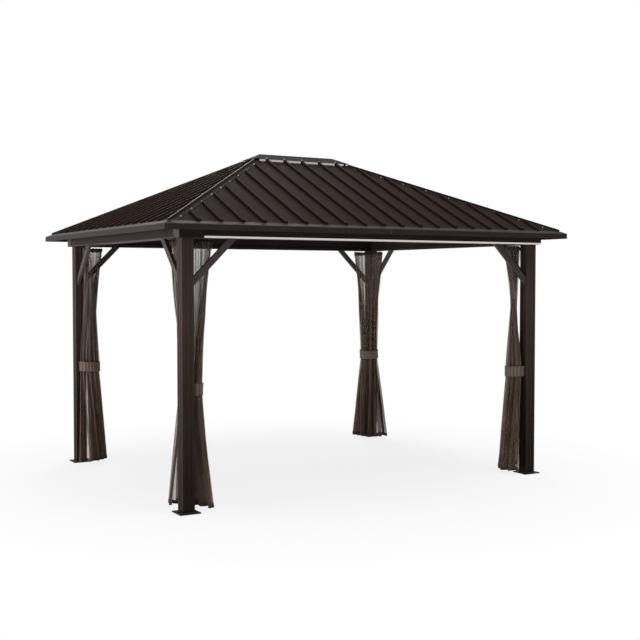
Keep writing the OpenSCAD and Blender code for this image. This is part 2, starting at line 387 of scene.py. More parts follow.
@dataclass(frozen=True)
class BareAluminium(Finish):
    """Mill-finish extruded aluminium.

    The die leaves fine lines along the bar, so it shines in a soft long glow.

    Attributes:
        roughness: The middle roughness.
        line_mm: Spacing of the die lines, about 0.2 mm, drawn wider so that they show.
    """

    roughness: float = 0.38
    line_mm: float = 2.0

    def shader(self, tree: Tree, place: Socket) -> Node:
        """Makes the nodes of the surface.

        Args:
            tree: The material's node tree.
            place: The point's place on the object.

        Returns:
            The node that gives the surface.
        """
        scale = (3.0, 3.0, 1000 / self.line_mm)
        mapped = add_node(tree, "ShaderNodeMapping", {"Vector": place, "Scale": scale}).outputs[0]
        drawn = {"Vector": mapped, "Scale": 1.0, "Detail": 3.0}
        lines = add_node(tree, NOISE, drawn).outputs[0]
        skin = {"Height": lines, "Strength": 0.15, "Distance": 0.2 * MM}
        rough = (lines, 0.3, 0.7, self.roughness - 0.06, self.roughness + 0.06)
        values = {
            "Base Color": linear(self.colour),
            "Metallic": 1.0,
            "Roughness": add_node(tree, RANGE, rough).outputs[0],
            "Normal": add_node(tree, BUMP, skin).outputs[0],
        }
        return add_node(tree, PRINCIPLED, values)


@dataclass(frozen=True)
class ZincPlate(Finish):
    """Bright zinc plating on steel screws, with a cloudy passivated skin.

    Attributes:
        cloud_mm: Width of a cloudy patch.
    """

    cloud_mm: float = 3.0

    def shader(self, tree: Tree, place: Socket) -> Node:
        """Makes the nodes of the surface.

        Args:
            tree: The material's node tree.
            place: The point's place on the object.

        Returns:
            The node that gives the surface.
        """
        cloud = add_node(tree, NOISE, {"Vector": place, "Scale": 1000 / self.cloud_mm}).outputs[0]
        values = {
            "Base Color": linear(self.colour),
            "Metallic": 1.0,
            "Roughness": add_node(tree, RANGE, (cloud, 0.3, 0.7, 0.28, 0.5)).outputs[0],
        }
        return add_node(tree, PRINCIPLED, values)


@dataclass(frozen=True)
class Nylon(Finish):
    """Moulded nylon, dull and slightly waxy, with the faint grain of its tool.

    Attributes:
        grain_mm: Width of the grain.
    """

    grain_mm: float = 1.0

    def shader(self, tree: Tree, place: Socket) -> Node:
        """Makes the nodes of the surface.

        Args:
            tree: The material's node tree.
            place: The point's place on the object.

        Returns:
            The node that gives the surface.
        """
        grain = add_node(tree, NOISE, {"Vector": place, "Scale": 1000 / self.grain_mm}).outputs[0]
        skin = {"Height": grain, "Strength": 0.2, "Distance": 0.1 * MM}
        values = {
            "Base Color": linear(self.colour),
            "Roughness": add_node(tree, RANGE, (grain, 0.3, 0.7, 0.45, 0.6)).outputs[0],
            "IOR": 1.53,
            "Normal": add_node(tree, BUMP, skin).outputs[0],
        }
        return add_node(tree, PRINCIPLED, values)


@dataclass(frozen=True)
class NetCloth(Finish):
    """Knitted polyester mosquito mesh.

    One layer lets about half the light through at the foot, and more higher up,
    where the cloth is made thinner. Higher up the yarn is also painted lighter, as
    painted light. Folds, where layers lie over each other, look dark.

    Attributes:
        faded: The paler yarn of random patches, and higher up the painted light.
        cell_mm: Spacing of the threads, about 1.2 mm, drawn wider so that it shows.
        thread: How much of the light a thread stops.
        hole: How much of the light is stopped between threads, where finer yarn lies.
        thinned: The share of that which the cloth still stops higher up.
        cloud_mm: Width of a pale patch.
        faded_from: Heights between which the cloth turns lighter, as painted light, and thinner.
    """

    faded: str
    cell_mm: float = 4.0
    thread: float = 0.90
    hole: float = 0.50
    thinned: float = 0.42
    cloud_mm: float = 200.0
    faded_from: Pair = (0.5, 1.8)

    def shader(self, tree: Tree, place: Socket) -> Node:
        """Makes the nodes of the surface.

        Args:
            tree: The material's node tree.
            place: The point's place on the object.

        Returns:
            The node that gives the surface.
        """
        cells = (place.node.outputs["UV"], (1000 / self.cell_mm,) * 3)
        counted = add_node(tree, "ShaderNodeVectorMath", cells, operation="MULTIPLY").outputs[0]
        axes = add_node(tree, "ShaderNodeSeparateXYZ", (counted,)).outputs
        to_line = tuple(
            add_node(tree, MATH, (axes[name], 0.5), operation="PINGPONG").outputs[0]
            for name in ("X", "Y")
        )
        nearest = add_node(tree, MATH, to_line, operation="MINIMUM").outputs[0]
        patches = {"Vector": place, "Scale": 1000 / self.cloud_mm, "Detail": 3.0}
        cloud = add_node(tree, NOISE, patches).outputs[0]
        level = add_node(tree, "ShaderNodeSeparateXYZ", (place,)).outputs["Z"]
        # Higher up the yarn is painted lighter, as painted light; random patches are paler too.
        lit_and_pale = (
            add_node(tree, RANGE, (level, *self.faded_from, 0.0, 0.75)).outputs[0],
            add_node(tree, RANGE, (cloud, 0.35, 0.7, -0.15, 0.35)).outputs[0],
        )
        lightening = add_node(tree, MATH, lit_and_pale, operation="ADD", use_clamp=True).outputs[0]
        stopped = (
            add_node(tree, RANGE, (nearest, 0.03, 0.12, self.thread, self.hole)).outputs[0],
            add_node(tree, RANGE, (level, *self.faded_from, 1.0, self.thinned)).outputs[0],
        )
        yarns = {0: lightening, 6: linear(self.colour), 7: linear(self.faded)}
        values = {
            "Base Color": add_node(tree, MIX, yarns, data_type="RGBA").outputs[2],
            "Roughness": 0.8,
            "Specular IOR Level": 0.25,
            "Sheen Weight": 0.25,
            "Sheen Roughness": 0.4,
            "Alpha": add_node(tree, MATH, stopped, operation="MULTIPLY").outputs[0],
        }
        return add_node(tree, PRINCIPLED, values)


@dataclass(frozen=True)
class WovenTape(Finish):
    """Woven polyester tape, dense and matt, with ribs across it.

    Attributes:
        shade: The colour between ribs, painted darker as painted shade in the grooves.
        rib_mm: Spacing of the ribs, about 1 mm, drawn wider so that they show.
    """

    shade: str
    rib_mm: float = 3.0

    def shader(self, tree: Tree, place: Socket) -> Node:
        """Makes the nodes of the surface.

        Args:
            tree: The material's node tree.
            place: The point's place on the object.

        Returns:
            The node that gives the surface.
        """
        # A wave node draws 20 waves for each step of its scale.
        flat = place.node.outputs["UV"]
        weave = {"Vector": flat, "Scale": 1000 / self.rib_mm / 20, "Distortion": 0.4}
        ribs = add_node(tree, "ShaderNodeTexWave", weave).outputs[1]
        skin = {"Height": ribs, "Strength": 0.3, "Distance": 0.4 * MM}
        # Between the ribs the colour is painted darker, as painted shade in the grooves.
        yarns = {0: ribs, 6: linear(self.shade), 7: linear(self.colour)}
        values = {
            "Base Color": add_node(tree, MIX, yarns, data_type="RGBA").outputs[2],
            "Roughness": 0.85,
            "Specular IOR Level": 0.2,
            "Sheen Weight": 0.2,
            "Normal": add_node(tree, BUMP, skin).outputs[0],
        }
        return add_node(tree, PRINCIPLED, values)


@dataclass(frozen=True)
class ScreenCloth(Finish):
    """Pale woven fly screen, seen as a light band with a fine grid.

    Attributes:
        gap: The shaded holes between the threads.
        cell_mm: Spacing of the threads, about 1.4 mm, drawn wider so that it shows.
    """

    gap: str
    cell_mm: float = 5.0

    def shader(self, tree: Tree, place: Socket) -> Node:
        """Makes the nodes of the surface.

        Args:
            tree: The material's node tree.
            place: The point's place on the object.

        Returns:
            The node that gives the surface.
        """
        cells = {"Vector": place, "Scale": 1000 / self.cell_mm, "Randomness": 0.0}
        grid = add_node(tree, "ShaderNodeTexVoronoi", cells).outputs["Distance"]
        thread = add_node(tree, RANGE, (grid, 0.25, 0.6)).outputs[0]
        tones = {0: thread, 6: linear(self.gap), 7: linear(self.colour)}
        colour = add_node(tree, MIX, tones, data_type="RGBA").outputs[2]
        return add_node(tree, PRINCIPLED, {"Base Color": colour, "Roughness": 0.7})


@dataclass(frozen=True)
class StudioFloor(Finish):
    """Pale studio floor that keeps the soft shadow and fades to the white ground.

    Attributes:
        near: Distance from the middle up to which the floor is its own colour.
        far: Distance from which it is plain white to the eye.
        veil: Share of plain white that lies over the floor close to the middle.
    """

    near: float = 1.4
    far: float = 3.4
    veil: float = 0.78

    def shader(self, tree: Tree, place: Socket) -> Node:
        """Makes the nodes of the surface.

        Args:
            tree: The material's node tree.
            place: The point's place on the object.

        Returns:
            The node that gives the surface.
        """
        away = add_node(tree, "ShaderNodeVectorMath", (place,), operation="LENGTH").outputs["Value"]
        white = add_node(tree, "ShaderNodeEmission", {"Strength": 1.0})
        matt = add_node(tree, "ShaderNodeBsdfDiffuse", {"Color": linear(self.colour)})
        shares = (
            add_node(tree, RANGE, (away, self.near, self.far, self.veil, 1.0)).outputs[0],
            seen_directly(tree),
        )
        share = add_node(tree, MATH, shares, operation="MULTIPLY").outputs[0]
        return add_node(tree, "ShaderNodeMixShader", (share, matt.outputs[0], white.outputs[0]))


def seen_directly(tree: Tree) -> Socket:
    """Tells rays that the eye follows, straight, mirrored or through glass, from the rest.

    Args:
        tree: The node tree.

    Returns:
        A socket that is 1 for camera, glossy and transmission rays and 0 for others.
    """
    rays = add_node(tree, "ShaderNodeLightPath").outputs
    seen = rays["Is Camera Ray"]
    for name in ("Is Glossy Ray", "Is Transmission Ray"):
        seen = add_node(tree, MATH, (seen, rays[name]), operation="MAXIMUM").outputs[0]
    return seen


class Finishes:
    """Every finish of the gazebo, built once."""

    def __init__(self) -> None:
        """Builds the materials."""
        coats = {
            # The posts are painted darker towards the ground, as painted shade.
            "post": ("#40332f", "#483c39", {"foot": "#1f140b"}),
            "plate": ("#2f2927", "#3a3432", {}),
            "beam": ("#261d1b", "#302725", {}),
            "brace": ("#4a4240", "#57504e", {}),
            "rafter": ("#241e1c", "#2e2725", {}),
            "cap": ("#261f1d", "#2f2826", {"roughness": 0.7, "sheen_level": 0.05}),
            # The hip crests' light coat is a painted highlight.
            "crest": ("#8b8582", "#9a9491", {}),
            "trim": ("#28211f", "#322b28", {}),
        }
        self.coats = {
            key: PowderCoat(f"powder_coated_{key}", clean, dusty, **more).build()
            for key, (clean, dusty, more) in coats.items()
        }
        self.sheets = {
            fall: CoilCoat(
                f"coil_coated_sheet_{fall.name.lower()}", "#231612", fall, "#2d1f1a"
            ).build()
            for fall in Fall
        }
        # The pale bare lips of the long beams stand as a painted highlight.
        self.lip = BareAluminium("lip_highlight_aluminium", "#e2dcd8").build()
        self.zinc = ZincPlate("zinc_plated_steel", "#a39f9b").build()
        self.nylon = Nylon("moulded_nylon", "#2a2625").build()
        # The second colour is the paler yarn of the random patches and of the painted light higher
        # up.
        self.net = NetCloth("mosquito_mesh", "#644f41", "#8d7b72").build()
        # The second colour of each tape is painted shade between its ribs.
        self.binding = WovenTape("woven_binding", "#4a3a34", "#3a2d28").build()
        self.band = WovenTape("woven_tie_band", "#75645a", "#57483f").build()
        self.screen = ScreenCloth("fly_screen", "#f4f2ef", "#e6e2de").build()

    def for_node(self, node: str) -> Material:
        """Picks the finish of a node of the frame.

        Args:
            node: The node's name.

        Returns:
            Its material.
        """
        if node.endswith("roof_sheet"):
            turned = node.startswith(("left", "right"))
            return self.sheets[Fall.ALONG_X if turned else Fall.ALONG_Y]
        words = {"foot_plate": "plate", "ridge_beam": "rafter"}
        words |= {word: word for word in ("post", "rafter", "beam", "cap", "trim", "brace")}
        found = next((words[w] for w in words if w in node), "rafter")
        return self.coats[found]


def make_piece(
    name: str,
    points: np.ndarray | list,
    faces: list,
    material: Material,
    flat: np.ndarray | None = None,
) -> Piece:
    """Makes a mesh piece in place, with its material.

    Args:
        name: The piece's name.
        points: The vertices.
        faces: The faces, as lists of vertex numbers.
        material: The finish.
        flat: For cloth, which shades smoothly: the vertices' places on the flat cloth,
            which become the UV map.

    Returns:
        The new object.
    """
    mesh = bpy.data.meshes.new(name)
    mesh.from_pydata([tuple(map(float, p)) for p in points], [], faces)
    mesh.materials.append(material)
    if flat is not None:
        mesh.polygons.foreach_set("use_smooth", [True] * len(mesh.polygons))
        layer = mesh.uv_layers.new(name="flat")
        order = np.zeros(len(mesh.loops), np.int32)
        mesh.loops.foreach_get("vertex_index", order)
        layer.data.foreach_set("uv", flat[order].astype(np.float32).ravel())
    mesh.validate()
    mesh.update()
    piece = bpy.data.objects.new(name, mesh)
    bpy.context.scene.collection.objects.link(piece)
    return piece


def apply_modifiers(piece: Piece) -> None:
    """Turns a piece with modifiers into a plain mesh.

    Args:
        piece: The object to flatten.
    """
    seen = piece.evaluated_get(bpy.context.evaluated_depsgraph_get())
    mesh = bpy.data.meshes.new_from_object(seen)
    piece.modifiers.clear()
    piece.data = mesh
    mesh.name = piece.name


def thicken(piece: Piece, thickness: float) -> None:
    """Gives a sheet its thickness, half of it to each side.

    Args:
        piece: The sheet.
        thickness: How thick it becomes.
    """
    modifier = piece.modifiers.new("thickness", "SOLIDIFY")
    modifier.thickness = thickness
    modifier.offset = 0.0
    apply_modifiers(piece)


def settle(piece: Piece, *nodes: str) -> Piece:
    """Rides a piece on the frame and reports it.

    Args:
        piece: The finished piece.
        *nodes: The frame's nodes that it stands for.

    Returns:
        The same piece.
    """
    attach(piece, "root")
    if nodes:
        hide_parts(*nodes)
    LOG.info("%s: %d faces", piece.name, len(piece.data.polygons))
    return piece


def face_outwards(piece: Piece) -> None:
    """Turns the faces of a piece's closed shells to point outwards.

    Args:
        piece: The object to repair.
    """
    shell = bmesh.new()
    shell.from_mesh(piece.data)
    bmesh.ops.recalc_face_normals(shell, faces=shell.faces)
    shell.to_mesh(piece.data)
    shell.free()
    piece.data.update()


def rounded_box(
    low: Vector, high: Vector, bevel: float
) -> tuple[list[Point], list[list[int]]]:
    """Makes a box with all twelve edges cut at 45 degrees.

    Args:
        low: The lowest corner.
        high: The highest corner.
        bevel: How far each edge is cut back.

    Returns:
        Its vertices and faces.
    """
    corners = list(product((0, 1), repeat=3))
    round_face = ((0, 0), (1, 0), (1, 1), (0, 1))
    index = {(*ends, axis): 3 * i + axis for i, ends in enumerate(corners) for axis in range(3)}
    points = [
        tuple(
            (high[i] if ends[i] else low[i]) + (0.0 if i == axis else bevel * (1 - 2 * ends[i]))
            for i in range(3)
        )
        for ends in corners
        for axis in range(3)
    ]

    def vertex(axis: int, end: int, pair: tuple[int, int], on: int) -> int:
        """Gives the vertex of a corner that lies on the face square to the axis "on"."""
        ends = list(pair)
        ends.insert(axis, end)
        return index[(*ends, on)]

    faces: list[list[int]] = []
    for axis in range(3):
        a, b = (i for i in range(3) if i != axis)
        faces += [[vertex(axis, end, pair, axis) for pair in round_face] for end in (0, 1)]
        faces += [
            [vertex(axis, end, pair, on) for end, on in ((0, a), (1, a), (1, b), (0, b))]
            for pair in round_face
        ]
    faces += [[index[(*ends, axis)] for axis in range(3)] for ends in corners]
    return points, faces


def boxes_piece(
    name: str, boxes: list[Spot], bevel: float, material: Material
) -> None:
    """Makes one piece of several small boxes with softened edges, and settles it.

    Args:
        name: The piece's name.
        boxes: Two opposite corners of each box.
        bevel: How far their edges are cut back.
        material: The finish.
    """
    points: list[Point] = []
    faces: list[list[int]] = []
    for first, second in boxes:
        low = Vector(map(min, first, second))
        high = Vector(map(max, first, second))
        some, rings = rounded_box(low, high, bevel)
        faces += [[i + len(points) for i in ring] for ring in rings]
        points += some
    piece = make_piece(name, points, faces, material)
    face_outwards(piece)
    settle(piece)


@dataclass(frozen=True)
class FaceStrip:
    """A kind of thin strip on the outer face of a side's node.

    Attributes:
        node: The node's name after its side's word.
        word: What the strip's name adds to the node's.
        depth: How far out from the face the strip starts and ends.
        bevel: How far its edges are cut back.
        slot: The record's material slot; not used.
    """

    node: str
    word: str
    depth: Pair
    bevel: float
    slot: str

    def build(self, side: Side, span: Pair, level: Pair, material: Material) -> None:
        """Makes the strip of one side.

        Args:
            side: The side.
            span: Where the strip starts and ends along the side.
            level: Its lowest and highest Z.
            material: The finish.
        """
        name = f"{side.label}_{self.node}"
        low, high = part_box(name)
        first, second = Vector(low), Vector(high)
        face = side.face(low, high)
        first[side.axis], second[side.axis] = (face + side.sign * d for d in self.depth)
        first[1 - side.axis], second[1 - side.axis] = span
        first.z, second.z = level
        boxes_piece(f"{name}_{self.word}", [(first, second)], self.bevel, material)


class Surface:
    """A node of the frame that small parts are set on."""

    def __init__(self, node: Piece) -> None:
        """Reads the node's triangles.

        Args:
            node: The frame's object.
        """
        points = [v.co.copy() for v in node.data.vertices]
        faces = [p.vertices for p in node.data.polygons]
        self.tree = BVHTree.FromPolygons(points, faces)

    def below(self, x: float, y: float) -> Spot | None:
        """Finds the top of the node at a place on the plan.

        Args:
            x: The place's X.
            y: The place's Y.

        Returns:
            The point and its upward normal, or None past the node's edge.
        """
        over_all = 9.0
        point, normal, _, _ = self.tree.ray_cast(Vector((x, y, over_all)), Vector((0, 0, -1)))
        if point is None:
            return None
        return point, normal if normal.z > 0 else -normal


class RepeatTree:
    """A geometry tree that sets one small part on every point of a mesh."""

    def __init__(self, name: str, inputs: dict[str, float]) -> None:
        """Starts the tree with its named inputs.

        Args:
            name: The tree's name.
            inputs: The sizes that it takes, with their defaults.
        """
        self.tree = bpy.data.node_groups.new(name, "GeometryNodeTree")
        face = self.tree.interface
        face.new_socket("Points", in_out="INPUT", socket_type="NodeSocketGeometry")
        for label, value in inputs.items():
            made = face.new_socket(label, in_out="INPUT", socket_type="NodeSocketFloat")
            made.default_value = value
        face.new_socket("Finish", in_out="INPUT", socket_type="NodeSocketMaterial")
        face.new_socket("Parts", in_out="OUTPUT", socket_type="NodeSocketGeometry")
        self.source = add_node(self.tree, "NodeGroupInput").outputs

    def size(self, name: str, factor: float = 1.0) -> Socket:
        """Gives a named input, scaled.

        Args:
            name: The input's name.
            factor: What it is multiplied by.

        Returns:
            The value's socket.
        """
        values = (self.source[name], factor)
        return add_node(self.tree, MATH, values, operation="MULTIPLY").outputs[0]

    def lift(self, shape: Socket, height: Socket) -> Socket:
        """Moves a shape along its own Z.

        Args:
            shape: The geometry.
            height: How far it moves.

        Returns:
            The moved geometry's socket.
        """
        step = add_node(self.tree, "ShaderNodeCombineXYZ", {"Z": height}).outputs[0]
        moved = {"Geometry": shape, "Translation": step}
        return add_node(self.tree, "GeometryNodeTransform", moved).outputs[0]

    def close(self, shapes: list[Socket], axis: str) -> None:
        """Sets the joined shapes on every point, turned to the points' aim.

        Args:
            shapes: The geometry of one small part.
            axis: The part's own axis that follows the aim.
        """
        tree = self.tree
        part = add_node(tree, "GeometryNodeJoinGeometry", (shapes,)).outputs[0]
        aim = {"Name": "aim"}
        kind = "GeometryNodeInputNamedAttribute"
        way = {"Vector": add_node(tree, kind, aim, data_type="FLOAT_VECTOR").outputs[0]}
        turn = add_node(tree, "FunctionNodeAlignRotationToVector", way, axis=axis).outputs[0]
        copies = {"Points": self.source["Points"], "Instance": part, "Rotation": turn}
        placed = add_node(tree, "GeometryNodeInstanceOnPoints", copies).outputs[0]
        real = add_node(tree, "GeometryNodeRealizeInstances", (placed,)).outputs[0]
        dress = {"Geometry": real, "Material": self.source["Finish"]}
        dressed = add_node(tree, "GeometryNodeSetMaterial", dress).outputs[0]
        add_node(tree, "NodeGroupOutput", {"Parts": dressed})

    def scatter(
        self,
        name: str,
        spots: list[Spot],
        material: Material,
        slot: str,
        sizes: dict[str, float] | None = None,
    ) -> Piece:
        """Makes a piece with the part at every spot.

        Args:
            name: The piece's name.
            spots: The place and the direction of each part.
            material: The finish.
            slot: The record's material slot; not used.
            sizes: Values for the named inputs that differ from their defaults.

        Returns:
            The finished piece.
        """
        piece = make_piece(name, [place for place, _ in spots], [], material)
        aim = piece.data.attributes.new("aim", "FLOAT_VECTOR", "POINT")
        aim.data.foreach_set("vector", [c for _, way in spots for c in way])
        modifier = piece.modifiers.new("repeat", "NODES")
        modifier.node_group = self.tree
        values: dict[str, object] = {"Finish": material, **(sizes or {})}
        for item in self.tree.interface.items_tree:
            if item.item_type == "SOCKET" and item.name in values:
                modifier[item.identifier] = values[item.name]
        apply_modifiers(piece)
        return settle(piece)


def screw_tree() -> RepeatTree:
    """Builds the tree of a hexagon-headed sheet screw with its washer.

    Returns:
        The tree, with the part's axis along the points' aim.
    """
    made = RepeatTree("sheet_screws", {"Head radius": 3.4 * MM, "Head height": 4.0 * MM})
    head = {"Vertices": 6, "Radius": made.size("Head radius"), "Depth": made.size("Head height")}
    hexagon = add_node(made.tree, "GeometryNodeMeshCylinder", head).outputs["Mesh"]
    washer = {
        "Vertices": 14,
        "Radius Top": made.size("Head radius", 1.1),
        "Radius Bottom": made.size("Head radius", 1.7),
        "Depth": made.size("Head height", 0.35),
    }
    skirt = add_node(made.tree, "GeometryNodeMeshCone", washer).outputs["Mesh"]
    made.close([made.lift(hexagon, made.size("Head height", 0.75)), skirt], "Z")
    return made


def glider_tree() -> RepeatTree:
    """Builds the tree of a curtain glider with its hanging ring.

    Returns:
        The tree, with the ring's hole looking along the points' aim.
    """
    made = RepeatTree("curtain_gliders", {"Ring radius": 6.5 * MM, "Wire radius": 1.3 * MM})
    ring, wire = (
        add_node(
            made.tree,
            "GeometryNodeCurvePrimitiveCircle",
            {"Resolution": steps, "Radius": made.size(f"{word} radius")},
        ).outputs["Curve"]
        for word, steps in (("Ring", 14), ("Wire", 6))
    )
    swept = {"Curve": ring, "Profile Curve": wire}
    hoop = add_node(made.tree, "GeometryNodeCurveToMesh", swept).outputs[0]
    turned = {"Geometry": hoop, "Rotation": (0.0, math.pi / 2, 0.0)}
    upright = add_node(made.tree, "GeometryNodeTransform", turned).outputs[0]
    stem = {
        "Vertices": 8,
        "Radius Top": made.size("Ring radius", 0.55),
        "Radius Bottom": made.size("Ring radius", 0.3),
        "Depth": made.size("Ring radius", 1.2),
    }
    peg = add_node(made.tree, "GeometryNodeMeshCone", stem).outputs["Mesh"]
    made.close([upright, made.lift(peg, made.size("Ring radius"))], "X")
    return made


@dataclass
class Roof:
    """The roof's screws, crests, trim joints, trim beads and vent screens.

    Attributes:
        finishes: The gazebo's finishes.
        frame: The loaded frame.
        screws: The tree of the sheet screws.
        rib_step: Spacing of the ribs across a slope.
        rib_half: Half of the width that a rib takes from a vent screen.
        rib_count: Ribs on each side of the middle one that reach under the ridge cap.
        hip_screw_start: Distance of the lowest screw from the corner, along the hip's plan.
        hip_screw_step: Spacing of the screws along the hip's plan.
        hip_screw_end: How much sooner they end than the hip cap.
        hip_screw_out: Distance of a screw's line from the hip's line, on the plan.
        ridge_screw_in: Distance of a screw from the ridge cap's edge.
        screen_reach: Half length of the long vent screens.
        screen_inset: How far a screen stands behind the ridge cap's edge.
        screen_t: Thickness of a screen.
        screen_lap: How far it reaches up behind the ridge cap.
        bead_h: Height of the rolled bead along the top edge of the eaves trim, coloured as a
            painted highlight.
        joint_h: Height of the cover over a joint of the trim.
        joint_half: Half of the cover's width.
        crest_half: Half width of the crest along a hip cap's fold, coloured as a painted highlight.
        crest_t: How far it stands over the fold.
        crest_short: How much sooner the crest ends than the hip cap, on the plan along a side.
        joint_at: Where the joint of each side's eaves trim lies along the side.
    """

    finishes: Finishes
    frame: dict
    screws: RepeatTree
    rib_step: float = 0.171
    rib_half: float = 0.017
    rib_count: int = 2
    hip_screw_start: float = 0.138
    hip_screw_step: float = 0.2
    hip_screw_end: float = 0.06
    hip_screw_out: float = 0.036
    ridge_screw_in: float = 0.016
    screen_reach: float = 0.418
    screen_inset: float = 0.5 * MM
    screen_t: float = 1.2 * MM
    screen_lap: float = 3.5 * MM
    bead_h: float = 4.0 * MM
    joint_h: float = 37 * MM
    joint_half: float = 3 * MM
    crest_half: float = 3.0 * MM
    crest_t: float = 1.2 * MM
    crest_short: float = 0.123
    joint_at: dict[Side, float] = field(
        default_factory=lambda: dict(zip(Side, (0.027, -0.027, -0.016, 0.016)))
    )

    def build(self) -> None:
        """Builds every added part of the roof."""
        for corner in Corner:
            self.hip_screws(corner)
        self.ridge_screws()
        for corner in Corner:
            self.hip_crest(corner)
        self.vent_screens()
        for side in Side:
            self.trim_joint(side)
            self.trim_bead_highlight(side)

    def hip_screws(self, corner: Corner) -> None:
        """Sets a row of screws along both flanges of a hip cap.

        Args:
            corner: The hip's corner.
        """
        name = f"{corner.label}_hip_cap"
        surface = Surface(self.frame["nodes"][name])
        low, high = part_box(name)
        reach = (high.x - low.x) * math.sqrt(2)
        tip = corner.pick(low, high, True)
        spots = []
        step = self.hip_screw_start
        while step < reach - self.hip_screw_end:
            for way in (-1, 1):
                place = tip + corner.inward * step + corner.square * way * self.hip_screw_out
                spots.append(surface.below(place.x, place.y))
            step += self.hip_screw_step
        found = list(filter(None, spots))
        self.screws.scatter(f"{name}_screws", found, self.finishes.zinc, "screw_zinc")

    def hip_crest(self, corner: Corner) -> None:
        """Makes the narrow crest where a hip cap's fold is pressed flat, coloured light as a
        painted highlight.

        Args:
            corner: The hip's corner.
        """
        name = f"{corner.label}_hip_cap"
        low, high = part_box(name)
        tip = corner.pick(low, high, True)
        square = corner.square
        surface = Surface(self.frame["nodes"][name])
        start = 4 * MM
        reach = (high.x - low.x - self.crest_short) * math.sqrt(2)
        ring = ((-1.0, -1.0), (1.0, -1.0), (0.45, 1.0), (-0.45, 1.0))
        points = []
        for step in (start, reach):
            spot = tip + corner.inward * step
            # The height is read just beside the crease, where a ray can't slip between faces.
            beside = spot + square * 1 * MM
            spot.z = surface.below(beside.x, beside.y)[0].z
            points += [
                spot + square * (a * self.crest_half) + Vector((0, 0, b * self.crest_t))
                for a, b in ring
            ]
        faces = [[i, (i + 1) % 4, 4 + (i + 1) % 4, 4 + i] for i in range(4)]
        faces += [[0, 1, 2, 3], [4, 5, 6, 7]]
        # The crest's light coat is a painted highlight along the hip.
        finish = self.finishes.coats["crest"]
        piece = make_piece(f"{name}_crest", points, faces, finish)
        face_outwards(piece)
        settle(piece)

    def ridge_screws(self) -> None:
        """Sets a screw over each rib along the ridge cap's long edges, and one at each end."""
        surface = Surface(self.frame["nodes"]["ridge_cap"])
        low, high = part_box("ridge_cap")
        edge = self.ridge_screw_in
        places = [
            (i * self.rib_step, y)
            for i in range(-self.rib_count, self.rib_count + 1)
            for y in (low.y + edge, high.y - edge)
        ]
        places += [(x, 0.0) for x in (low.x + edge, high.x - edge)]
        spots = [spot for place in places if (spot := surface.below(*place))]
        self.screws.scatter("ridge_cap_screws", spots, self.finishes.zinc, "screw_zinc")

    def vent_screens(self) -> None:
        """Closes the gap under the ridge cap's edges with a fly screen between the ribs."""
        low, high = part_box("ridge_cap")
        cuts = [-self.screen_reach]
        for i in range(-self.rib_count, self.rib_count + 1):
            cuts += [i * self.rib_step - self.rib_half, i * self.rib_step + self.rib_half]
        cuts.append(self.screen_reach)
        boxes = []
        for side in (Side.FRONT, Side.BACK):
            surface = Surface(self.frame["nodes"][f"{side.label}_roof_sheet"])
            y = side.face(low, high) - side.sign * self.screen_inset
            for start, end in zip(cuts[::2], cuts[1::2]):
                foot = surface.below((start + end) / 2, y)[0].z
                first = Vector((start, y, foot))
                behind = y - side.sign * self.screen_t
                boxes.append((first, Vector((end, behind, low.z + self.screen_lap))))
        boxes_piece("ridge_vent_screens", boxes, 0.3 * MM, self.finishes.screen)

    def trim_joint(self, side: Side) -> None:
        """Puts a narrow joint cover near the middle of a side's eaves trim; on the front and back
        its light coat is a painted highlight.

        Args:
            side: The side.
        """
        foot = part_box(f"{side.label}_eaves_trim")[0].z
        middle = self.joint_at[side]
        strip = FaceStrip("eaves_trim", "joint", (-2 * MM, 1 * MM), 0.4 * MM, "eaves_trim_paint")
        # On the front and back the cover's light coat is a painted highlight; on the sides it is
        # dark.
        strip.build(
            side,
            (middle - self.joint_half, middle + self.joint_half),
            (foot - 0.6 * MM, foot + self.joint_h),
            self.finishes.coats["brace" if side.is_long else "rafter"],
        )

    def trim_bead_highlight(self, side: Side) -> None:
        """Makes the rolled bead along the top edge of a side's eaves trim, coloured light as a
        painted highlight.

        Args:
            side: The side.
        """
        name = f"{side.label}_eaves_trim"
        low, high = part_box(name)
        spot = [0.0, 0.0]
        spot[side.axis] = side.face(low, high) - side.sign * 1.5 * MM
        top = Surface(self.frame["nodes"][name]).below(*spot)[0].z
        ends = (low[1 - side.axis] + 1 * MM, high[1 - side.axis] - 1 * MM)
        strip = FaceStrip("eaves_trim", "bead_highlight", (-2 * MM, 1 * MM), 0.4 * MM, "eaves_trim_paint")
        level = (top - self.bead_h, top + 0.4 * MM)
        # The bead's light coat is a painted highlight along the trim's top edge.
        strip.build(side, ends, level, self.finishes.coats["brace"])


